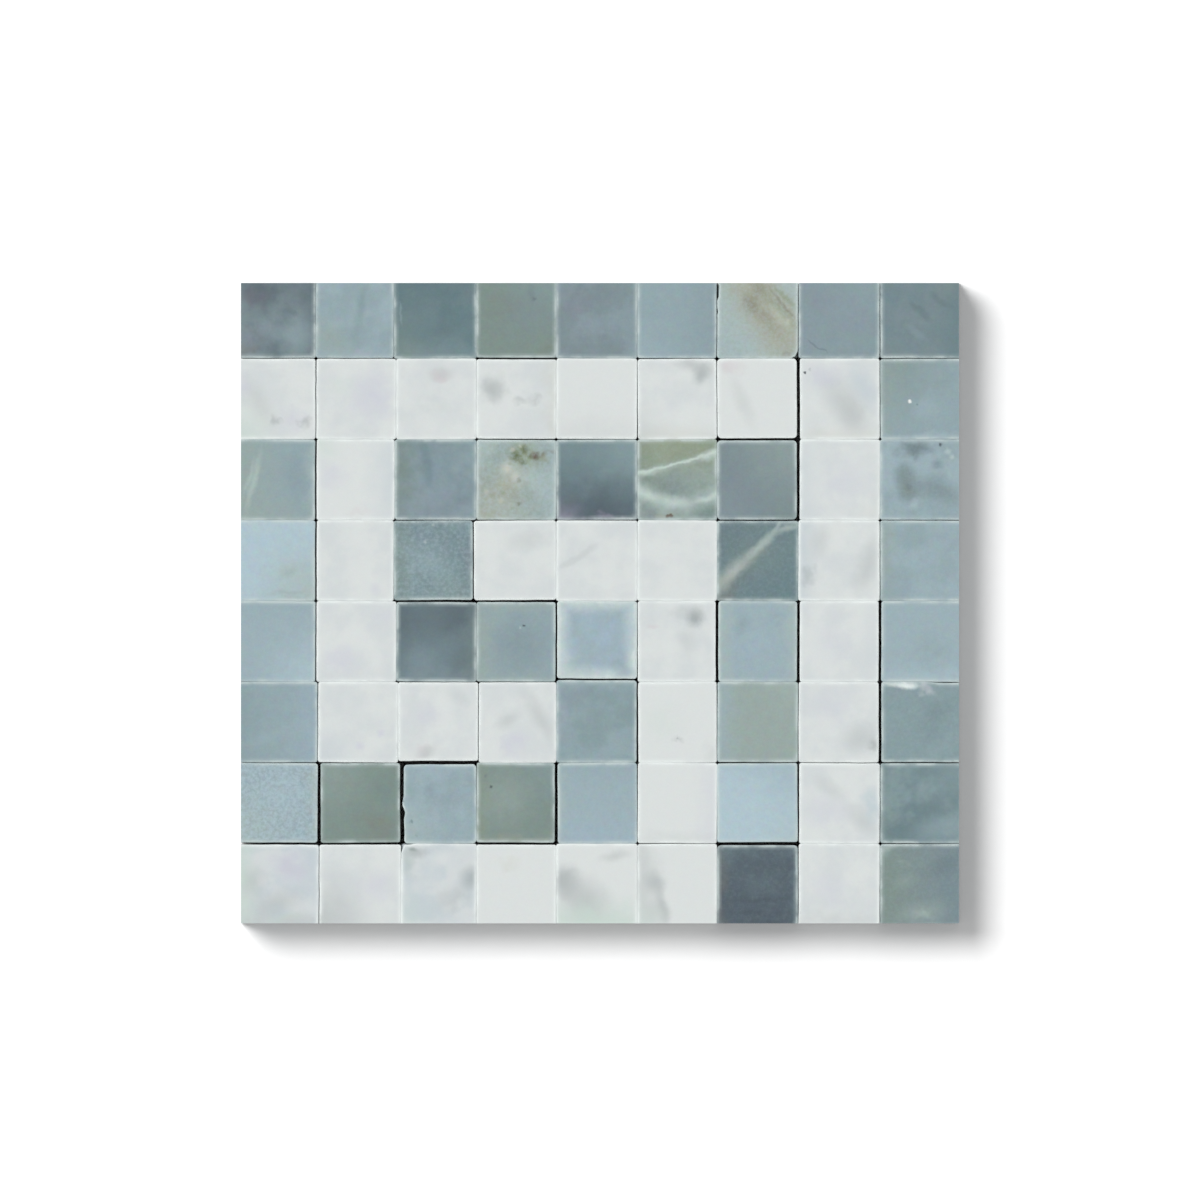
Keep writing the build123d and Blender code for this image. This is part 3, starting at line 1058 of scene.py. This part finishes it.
def marble(name, kind, course, column, centre):
    """The marble of one stone, with its own clouds, veins and stains."""
    traits = MARBLES[kind]
    chance = random.Random(course * 100 + column)
    material, tree = new_material(name)
    place = in_millimetres(tree, centre)
    cut_from = [chance.uniform(-BLOCK_MM, BLOCK_MM) for _ in range(3)]
    block = vector(tree, "ADD", place, cut_from)
    fine = clouds(tree, block, 2.6, 3, 0.7).outputs[0]
    colour = polished_colour(tree, traits, LOOKS[course, column], place, block, fine)

    facing = parts_of(tree, put(tree, "ShaderNodeNewGeometry").outputs["True Normal"])[2]
    wall = spread(tree, number(tree, "ABSOLUTE", facing), 0.15, 0.3, 1.0, 0.0)
    under = spread(tree, facing, -0.6, -0.4, 1.0, 0.0)
    colour = pale_rims_and_arris_shade(tree, colour, traits, place, block, wall)

    # Painted shade on the walls of the joints but not on the outline, glue underneath, saw marks
    joint_wall = wall
    if is_outer(course, column):
        joint_wall = number(tree, "MULTIPLY", wall, inside_sheet(tree))
    wall_shade = traits["wall_shade"]
    wall_shading = spread(tree, clouds(tree, block, 0.5, 3).outputs[0], 0.3, 0.6, wall_shade - 0.3, wall_shade)
    colour = blend(tree, number(tree, "MULTIPLY", joint_wall, wall_shading), colour, colour_of("joint_shade"))
    smeared = spread(tree, clouds(tree, block, 0.22, 4, 0.6).outputs[0], 0.42, 0.58, 0.1, 0.85)
    colour = blend(tree, number(tree, "MULTIPLY", under, smeared), colour, colour_of("glue"))
    saw_marks = clouds(tree, block, 1.0, 2, 0.5, (0.12, 0.12, 3.5)).outputs[0]
    scored = number(tree, "MULTIPLY", spread(tree, saw_marks, 0.35, 0.65, 0.0, 0.08), wall)
    colour = blend(tree, scored, colour, colour_of("grime_and_shade"))

    # The face is honed, and the walls and the underside are rough from the saw
    rough = spread(tree, fine, 0.3, 0.7, 0.3, 0.46)
    rough = number(tree, "MULTIPLY_ADD", number(tree, "MAXIMUM", wall, under), 0.35, rough)
    relief = number(tree, "MULTIPLY_ADD", fine, 0.35, number(tree, "MULTIPLY", saw_marks, wall))
    finish(tree, colour, rough, relief, 0.25, 0.06 * MM, 0.2)
    return material


# Points of a rounded corner that are joined into one, before an inset that is wider than the corner
CORNER_MERGE = 0.45 * MM

# Length of the slow and the quick wanders of a sawn edge
SLOW_WAVE = 5.0 * MM
QUICK_WAVE = 1.3 * MM

# How deep a shallow bite goes, and how wide a piece of edge it takes hold of
BITE_DEPTH = 0.6 * MM
BITE_HOLD = 0.25 * MM


def stone_boxes(run_name):
    """Left, right, bottom and top of each stone in a CAD run, from the left."""
    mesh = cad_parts[run_name].data
    spans = []
    for face in mesh.polygons:
        corners = [mesh.vertices[i].co for i in face.vertices]
        across = [c.x for c in corners]
        up = [c.y for c in corners]
        spans.append([min(across), max(across), min(up), max(up)])
    boxes = []
    for left, right, bottom, top in sorted(spans):
        if boxes and left < boxes[-1][1] + TOUCHING:
            boxes[-1][1] = max(boxes[-1][1], right)
            boxes[-1][2] = min(boxes[-1][2], bottom)
            boxes[-1][3] = max(boxes[-1][3], top)
        else:
            boxes.append([left, right, bottom, top])
    return boxes


def stones_of(kind):
    """Course, column, box and CAD run of each stone of one kind."""
    stones = []
    for run_name in sorted(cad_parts):
        words = run_name.split("_")
        if words[0] != kind:
            continue
        course = int(words[1][1:])
        first = int(words[2][1:])
        for place, box in enumerate(stone_boxes(run_name)):
            stones.append((course, first + place, box, run_name))
    if not stones:
        raise RuntimeError(f"the frame has no {kind} stones")
    return stones


def pick(piece, kind, test):
    """Selects the vertices, edges or faces that pass a test, in edit mode."""
    bpy.ops.mesh.select_mode(type=kind)
    bpy.ops.mesh.select_all(action="DESELECT")
    shape = bmesh.from_edit_mesh(piece.data)
    parts = {"VERT": shape.verts, "EDGE": shape.edges, "FACE": shape.faces}[kind]
    for part in parts:
        if test(part):
            part.select_set(True)
    shape.select_flush_mode()
    bmesh.update_edit_mesh(piece.data)


def bruise_and_highlight(piece, amount):
    """Writes how pale the selected points are, for the pale rim of bruised stone and painted
    highlight.
    """
    shape = bmesh.from_edit_mesh(piece.data)
    rim = shape.verts.layers.float["rim"]
    for point in shape.verts:
        if point.select:
            point[rim] = amount
    bmesh.update_edit_mesh(piece.data)


def is_wide(face):
    """True for the faces that fill the top or the foot of a stone."""
    return len(face.verts) > 8


def cut_blank(name, corner, steps):
    """A full stone round the origin, standing at the foot of the stones."""
    sizes = bpy.context.scene.stone_sizes
    bpy.ops.object.select_all(action="DESELECT")
    bpy.ops.mesh.primitive_plane_add(size=sizes.stone_width, location=(0, 0, FOOT_Z))
    blank = bpy.context.object
    blank.name = name
    bpy.ops.object.transform_apply(location=True, rotation=True, scale=True)
    bpy.ops.object.mode_set(mode="EDIT")
    bmesh.from_edit_mesh(blank.data).verts.layers.float.new("rim")
    bpy.ops.mesh.select_mode(type="VERT")
    bpy.ops.mesh.select_all(action="SELECT")
    bpy.ops.mesh.bevel(affect="VERTICES", offset=corner, segments=steps)
    pick(blank, "EDGE", lambda edge: edge.calc_length() > 0.5 * sizes.stone_width)
    bpy.ops.mesh.subdivide(number_cuts=sizes.cuts)
    bpy.ops.mesh.select_mode(type="FACE")
    bpy.ops.mesh.select_all(action="SELECT")
    depth = FACE_Z - FOOT_Z
    for rise in (depth - sizes.shallow, sizes.shallow):
        bpy.ops.mesh.extrude_region_move(TRANSFORM_OT_translate={"value": (0, 0, rise)})

    def on_face(part):
        return all(abs(v.co.z - FACE_Z) < TOUCHING for v in part.verts)

    pick(blank, "EDGE", lambda edge: on_face(edge) and len(edge.link_faces) == 2)
    bpy.ops.mesh.bevel(affect="EDGES", offset=sizes.arris, segments=2)
    # The arris and the rings inside it carry the pale rim, partly bruised stone and partly a painted
    # highlight
    pick(blank, "VERT", lambda point: point.co.z > FACE_Z - 0.9 * sizes.arris)
    bruise_and_highlight(blank, 1.0)
    pick(blank, "FACE", lambda face: is_wide(face) and on_face(face))
    roundness = corner - sizes.arris
    for width, paleness in ((sizes.rim_width, 1.0), (sizes.rim_fade, 0.3), (sizes.halo, 0.0)):
        if width >= roundness:
            bpy.ops.mesh.remove_doubles(threshold=CORNER_MERGE)
            pick(blank, "FACE", lambda face: is_wide(face) and on_face(face))
        bpy.ops.mesh.inset(thickness=width, depth=0)
        bruise_and_highlight(blank, paleness)
        roundness -= width
    bpy.ops.mesh.select_all(action="SELECT")
    bpy.ops.mesh.normals_make_consistent(inside=False)
    bpy.ops.object.mode_set(mode="OBJECT")
    return blank


def wear_texture(name, size):
    """A cloud texture with features of one size, made when it is first asked for."""
    texture = bpy.data.textures.get(name) or bpy.data.textures.new(name, "CLOUDS")
    texture.noise_scale = size
    texture.noise_depth = 1
    return texture


def wear(stone):
    """Lets the edges of a stone wander, as a hand-fed saw leaves them."""
    sizes = bpy.context.scene.stone_sizes
    for name, size, strength in (
        ("slow wander", SLOW_WAVE, sizes.slow_wander),
        ("quick wander", QUICK_WAVE, sizes.quick_wander),
    ):
        for direction, stretch in (("X", 1.0), ("Y", 1.1)):
            modifier = stone.modifiers.new(name, "DISPLACE")
            modifier.texture = wear_texture(name + direction, size * stretch)
            modifier.texture_coords = "LOCAL"
            modifier.direction = direction
            modifier.strength = strength
            modifier.mid_level = 0.5
            bpy.ops.object.modifier_apply(modifier=modifier.name)


def bite(stone, box, bites):
    """Breaks away bits of edges and corners."""
    left, right, bottom, top = box
    bpy.ops.object.mode_set(mode="EDIT")
    for across, down, push_right, push_up, reach, deep in bites:
        x = left + across * (right - left)
        y = top - down * (top - bottom)

        def near(point):
            return math.hypot(point.co.x - x, point.co.y - y)

        floor = 0.0 if deep else FACE_Z - BITE_DEPTH
        shape = bmesh.from_edit_mesh(stone.data)
        nearest = min(near(point) for point in shape.verts if point.co.z > floor)
        pick(stone, "VERT", lambda p: near(p) < nearest + BITE_HOLD and p.co.z > floor)
        bpy.ops.transform.translate(
            value=(push_right * MM, push_up * MM, 0), use_proportional_edit=True,
            proportional_edit_falloff="SMOOTH", proportional_size=reach * MM,
        )
    bpy.ops.object.mode_set(mode="OBJECT")


def blank_for(place):
    """The name of the blank that a stone is cut from."""
    if place in WORN_STONES:
        return "worn"
    return "soft" if place in SOFT_STONES else "crisp"


def saw_off(stone, course, column):
    """Saws an outer stone flush with the sides of the sheet."""
    cuts = []
    if column == 1:
        cuts.append(((-SIDE_X, 0, 0), (-1, 0, 0)))
    if column == COLUMNS:
        cuts.append(((SIDE_X, 0, 0), (1, 0, 0)))
    if course == 1:
        cuts.append(((0, SIDE_Y, 0), (0, 1, 0)))
    if course == COURSES:
        cuts.append(((0, -SIDE_Y, 0), (0, -1, 0)))
    bpy.ops.object.mode_set(mode="EDIT")
    for point, facing in cuts:
        bpy.ops.mesh.select_all(action="SELECT")
        bpy.ops.mesh.bisect(
            plane_co=point, plane_no=facing, use_fill=True, clear_outer=True, threshold=TOUCHING
        )
    bpy.ops.object.mode_set(mode="OBJECT")


def lay_stone(blanks, kind, course, column, box, run_name):
    """Copies a blank, fits it between its joints, wears it and saws off what sticks out."""
    sizes = bpy.context.scene.stone_sizes
    chance = random.Random(course * 31 + column * 7)
    left, right, bottom, top = box
    eased = [sizes.closer + push * MM for push in EASED.get((course, column), (0, 0, 0, 0))]
    left, right = left - eased[0], right + eased[1]
    bottom, top = bottom - eased[2], top + eased[3]
    if column == 1:
        left = right - sizes.stone_width - sizes.over_cut
    if column == COLUMNS:
        right = left + sizes.stone_width + sizes.over_cut
    if course == 1:
        top = bottom + sizes.stone_width + sizes.over_cut
    if course == COURSES:
        bottom = top - sizes.stone_width - sizes.over_cut
    box = (left, right, bottom, top)
    blank = blanks[blank_for((course, column))]
    stone = blank.copy()
    stone.data = blank.data.copy()
    stone.name = f"{kind}_stone_r{course}_c{column}"
    stone.data.name = stone.name
    bpy.context.scene.collection.objects.link(stone)
    bpy.ops.object.select_all(action="DESELECT")
    stone.select_set(True)
    bpy.context.view_layer.objects.active = stone
    stone.location = ((left + right) / 2, (bottom + top) / 2, 0)
    stone.scale = ((right - left) / sizes.stone_width, (top - bottom) / sizes.stone_width, 1)
    stone.rotation_euler = (0, 0, chance.uniform(-sizes.turn, sizes.turn))
    bpy.ops.object.transform_apply(location=True, rotation=True, scale=True)
    wear(stone)
    if (course, column) in BITES:
        bite(stone, box, BITES[course, column])
    if is_outer(course, column):
        saw_off(stone, course, column)
    bpy.ops.object.shade_smooth_by_angle(angle=math.radians(35))
    centre = ((left + right) / 2, (bottom + top) / 2, FACE_Z)
    stone.data.materials.clear()
    stone.data.materials.append(marble(stone.name, kind, course, column, centre))
    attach(stone, "root")
    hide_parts(run_name)


def lay_stones(kind):
    """Cuts the blanks, lays every stone of one kind and clears the blanks away."""
    sizes = bpy.context.scene.stone_sizes
    blanks = {
        "crisp": cut_blank("crisp_blank", sizes.crisp_corner, 3),
        "soft": cut_blank("soft_blank", sizes.soft_corner, 4),
        "worn": cut_blank("worn_blank", sizes.worn_corner, 6),
    }
    for course, column, box, run_name in stones_of(kind):
        lay_stone(blanks, kind, course, column, box, run_name)
    for blank in blanks.values():
        mesh = blank.data
        bpy.data.objects.remove(blank)
        bpy.data.meshes.remove(mesh)


def yarn_material(name, along):
    """Coated glass fibre, with its filaments running along X or Y."""
    material, tree = new_material(name)
    place = in_millimetres(tree, (0, 0, 0))
    stretch = (0.04, 1.0, 1.0) if along == "X" else (1.0, 0.04, 1.0)
    filaments = clouds(tree, place, 9.0, 2, 0.5, stretch).outputs[0]
    coating = clouds(tree, place, 0.35, 3).outputs[0]
    coated = spread(tree, coating, 0.4, 0.6, 0.0, 0.5)
    colour = blend(tree, coated, colour_of("yarn"), colour_of("glue"))
    shade = spread(tree, filaments, 0.3, 0.7, 0.82, 1.04, soft=False)
    rough = spread(tree, coating, 0.35, 0.65, 0.35, 0.6)
    finish(tree, scaled(tree, colour, shade), rough, filaments, 0.5, 0.03 * MM, 0.5)
    return material


# Waves laid end to end in a yarn before it is cut: more than the sheet is long
YARN_WAVES = 13


def spin_yarn(sizes, half_run, shift, material):
    """One crimped yarn along X, cut to length, with its first rise moved along by the shift."""
    bpy.ops.object.select_all(action="DESELECT")
    wave = sizes.pitch * 2
    bpy.ops.mesh.primitive_cylinder_add(
        vertices=8, radius=sizes.yarn_width / 2, depth=wave, end_fill_type="NOTHING",
        location=(0, 0, 0), rotation=(0, math.pi / 2, 0),
    )
    yarn = bpy.context.object
    bpy.ops.object.transform_apply(location=True, rotation=True, scale=True)
    bpy.ops.object.mode_set(mode="EDIT")
    bpy.ops.mesh.select_all(action="SELECT")
    bpy.ops.transform.resize(value=(1, 1, sizes.yarn_thickness / sizes.yarn_width))
    pick(yarn, "EDGE", lambda edge: abs(edge.verts[0].co.x - edge.verts[1].co.x) > 0.5 * wave)
    bpy.ops.mesh.subdivide(number_cuts=7)
    pick(yarn, "VERT", lambda point: abs(point.co.x) < 10 * TOUCHING)
    bpy.ops.transform.translate(
        value=(0, 0, sizes.crimp), use_proportional_edit=True,
        proportional_edit_falloff="SMOOTH", proportional_size=sizes.pitch,
    )
    bpy.ops.mesh.select_all(action="SELECT")
    bpy.ops.transform.translate(value=(shift - YARN_WAVES // 2 * wave, 0, -sizes.crimp / 2))
    bpy.ops.object.mode_set(mode="OBJECT")
    repeat = yarn.modifiers.new("repeat", "ARRAY")
    repeat.count = YARN_WAVES
    repeat.use_relative_offset = False
    repeat.use_constant_offset = True
    repeat.constant_offset_displace = (wave, 0, 0)
    repeat.use_merge_vertices = True
    repeat.merge_threshold = 10 * TOUCHING
    bpy.ops.object.modifier_apply(modifier=repeat.name)
    bpy.ops.object.mode_set(mode="EDIT")
    for way in (-1, 1):
        bpy.ops.mesh.select_all(action="SELECT")
        bpy.ops.mesh.bisect(
            plane_co=(way * half_run, 0, 0), plane_no=(way, 0, 0),
            use_fill=True, clear_outer=True, threshold=TOUCHING,
        )
    bpy.ops.mesh.select_all(action="SELECT")
    bpy.ops.mesh.normals_make_consistent(inside=False)
    bpy.ops.object.mode_set(mode="OBJECT")
    yarn.data.materials.append(material)
    return yarn


class TILE_OT_lay_blue_stones(Operator):
    """Lays the forty blue-grey marble stones of the outer line and the key"""
    bl_idname = "border_tile.lay_blue_stones"
    bl_label = "Lay blue-grey stones"

    def execute(self, context):
        lay_stones("blue")
        return {"FINISHED"}


class TILE_OT_lay_white_stones(Operator):
    """Lays the thirty-two white marble stones of the inner line and the ground"""
    bl_idname = "border_tile.lay_white_stones"
    bl_label = "Lay white stones"

    def execute(self, context):
        lay_stones("white")
        return {"FINISHED"}


class TILE_OT_weave_mesh(Operator):
    """Weaves the glass-fibre mesh that the stones are glued to"""
    bl_idname = "border_tile.weave_mesh"
    bl_label = "Weave glass-fibre mesh"

    def execute(self, context):
        sizes = context.scene.mesh_sizes
        low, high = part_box("glass_fibre_mesh")
        middle = (low.z + high.z) / 2
        level_look = yarn_material("level_yarn", "X")
        upright_look = yarn_material("upright_yarn", "Y")
        uprights = int((high.x - low.x - sizes.yarn_width) // sizes.pitch) + 1
        levels = int((high.y - low.y - sizes.yarn_width) // sizes.pitch) + 1
        yarns = []
        for count, half_run, look, turned, start in (
            (levels, high.x, level_look, False, 0),
            (uprights, high.y, upright_look, True, 1),
        ):
            for i in range(count):
                step = i - (count - 1) // 2
                over = (step + start) % 2
                yarn = spin_yarn(sizes, half_run, over * sizes.pitch, look)
                if turned:
                    yarn.rotation_euler = (0, 0, math.pi / 2)
                    yarn.location = (step * sizes.pitch, 0, middle)
                else:
                    yarn.location = (0, step * sizes.pitch, middle)
                bpy.ops.object.transform_apply(location=True, rotation=True, scale=True)
                yarns.append(yarn)
        bpy.ops.object.select_all(action="DESELECT")
        for yarn in yarns:
            yarn.select_set(True)
        context.view_layer.objects.active = yarns[0]
        bpy.ops.object.join()
        weave = context.object
        weave.name = "woven_glass_fibre_mesh"
        weave.data.name = weave.name
        bpy.ops.object.shade_smooth_by_angle(angle=math.radians(50))
        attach(weave, "root")
        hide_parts("glass_fibre_mesh")
        return {"FINISHED"}


# The way the lamp shines, and how far above the middle of the sheet the picture is centred
LAMP_WAY = (0.5, -0.39, -0.777)
PICTURE_RISE = 0.6 * MM

# The floor's paper, and how much brighter the camera sees it beside the sheet
PAPER_LEVEL = 0.9
PAPER_GRAIN = 0.005
CAMERA_LIFT = 0.1
CAMERA_GLOW = 0.145


class TILE_OT_set_stage(Operator):
    """Sets the floor, the light and the camera of the product picture"""
    bl_idname = "border_tile.set_stage"
    bl_label = "Set stage"

    def execute(self, context):
        light = context.scene.stage_light
        bpy.ops.object.select_all(action="DESELECT")
        bpy.ops.mesh.primitive_plane_add(size=light.floor_width, location=(0, 0, 0))
        floor = context.object
        floor.name = "floor"
        floor.data.materials.append(self.floor_material())

        towards = Vector(LAMP_WAY).normalized()
        turn = towards.to_track_quat("-Z", "Y").to_euler()
        bpy.ops.object.light_add(type="SUN", location=(-0.5, 0.4, 1.0), rotation=turn)
        sun = context.object
        sun.name = "studio_lamp"
        sun.data.energy = light.sun_level * math.pi / -towards.z
        sun.data.angle = light.sun_spread

        world = bpy.data.worlds.new("studio")
        world.use_nodes = True
        tree = world.node_tree
        tree.nodes.clear()
        seen = self.seen(tree)
        white = (1.0, 1.0, 1.0, 1.0)
        glow = put(tree, "ShaderNodeBackground", {"Color": white, "Strength": light.sky_level})
        shown = put(tree, "ShaderNodeBackground", {"Color": white, "Strength": 1.0})
        mixed = put(tree, "ShaderNodeMixShader", {0: seen, 1: glow.outputs[0], 2: shown.outputs[0]})
        put(tree, "ShaderNodeOutputWorld", {"Surface": mixed.outputs[0]})
        context.scene.world = world

        bpy.ops.object.camera_add(location=(0.0, PICTURE_RISE, 1.0), rotation=(0, 0, 0))
        camera = context.object
        camera.name = "camera"
        camera.data.type = "ORTHO"
        camera.data.ortho_scale = light.picture_width
        context.scene.camera = camera
        context.scene.view_settings.view_transform = "Standard"
        return {"FINISHED"}

    def seen(self, tree):
        """1 for what the camera sees, straight or in a reflection."""
        rays = put(tree, "ShaderNodeLightPath").outputs
        seen = number(tree, "MAXIMUM", rays["Is Camera Ray"], rays["Is Glossy Ray"])
        return number(tree, "MAXIMUM", seen, rays["Is Transmission Ray"])

    def floor_material(self):
        """White paper, lifted a little where the camera sees it so that its shadow stays light."""
        material, tree = new_material("white_floor")
        grain = clouds(tree, in_millimetres(tree, (0, 0, 0)), 0.4, 3).outputs[0]
        level = spread(tree, grain, 0.3, 0.7, PAPER_LEVEL - PAPER_GRAIN, PAPER_LEVEL + PAPER_GRAIN)
        place = put(tree, "ShaderNodeTexCoord").outputs["Object"]
        parts = parts_of(tree, vector(tree, "ABSOLUTE", place))
        beside = number(tree, "GREATER_THAN", parts[0], SIDE_X)
        beyond = number(tree, "GREATER_THAN", parts[1], SIDE_Y)
        bare = number(tree, "MAXIMUM", beside, beyond)
        seen = number(tree, "MULTIPLY", self.seen(tree), bare)
        level = number(tree, "MULTIPLY_ADD", seen, CAMERA_LIFT, level)
        colour = put(tree, "ShaderNodeCombineColor", {0: level, 1: level, 2: level}).outputs[0]
        paper = put(tree, "ShaderNodeBsdfDiffuse", {"Color": colour})
        glow = number(tree, "MULTIPLY", seen, CAMERA_GLOW)
        lift = put(tree, "ShaderNodeEmission", {"Strength": glow})
        both = put(tree, "ShaderNodeAddShader", {0: paper.outputs[0], 1: lift.outputs[0]})
        put(tree, "ShaderNodeOutputMaterial", {"Surface": both.outputs[0]})
        return material


class TILE_PT_border_tile(Panel):
    bl_label = "Border tile"
    bl_space_type = "VIEW_3D"
    bl_region_type = "UI"
    bl_category = "Border tile"

    def draw(self, context):
        column = self.layout.column(align=True)
        for operator in OPERATORS:
            column.operator(operator.bl_idname)
        for group in (context.scene.stone_sizes, context.scene.mesh_sizes, context.scene.stage_light):
            box = self.layout.box()
            for name in group.__annotations__:
                box.prop(group, name)
        palette = self.layout.box()
        for name in MarbleTones.__annotations__:
            palette.prop(context.scene.marble_tones, name)


OPERATORS = (
    TILE_OT_lay_blue_stones,
    TILE_OT_lay_white_stones,
    TILE_OT_weave_mesh,
    TILE_OT_set_stage,
)
GROUPS = {
    "stone_sizes": StoneSizes,
    "marble_tones": MarbleTones,
    "mesh_sizes": MeshSizes,
    "stage_light": StageLight,
}


def register():
    for group in (*GROUPS.values(), *OPERATORS, TILE_PT_border_tile):
        bpy.utils.register_class(group)
    for name, group in GROUPS.items():
        setattr(bpy.types.Scene, name, PointerProperty(type=group))


def unregister():
    for name in GROUPS:
        delattr(bpy.types.Scene, name)
    for group in reversed((*GROUPS.values(), *OPERATORS, TILE_PT_border_tile)):
        bpy.utils.unregister_class(group)


def main():
    register()
    bpy.ops.border_tile.lay_blue_stones()
    bpy.ops.border_tile.lay_white_stones()
    bpy.ops.border_tile.weave_mesh()
    bpy.ops.border_tile.set_stage()


if __name__ == "__main__":
    main()
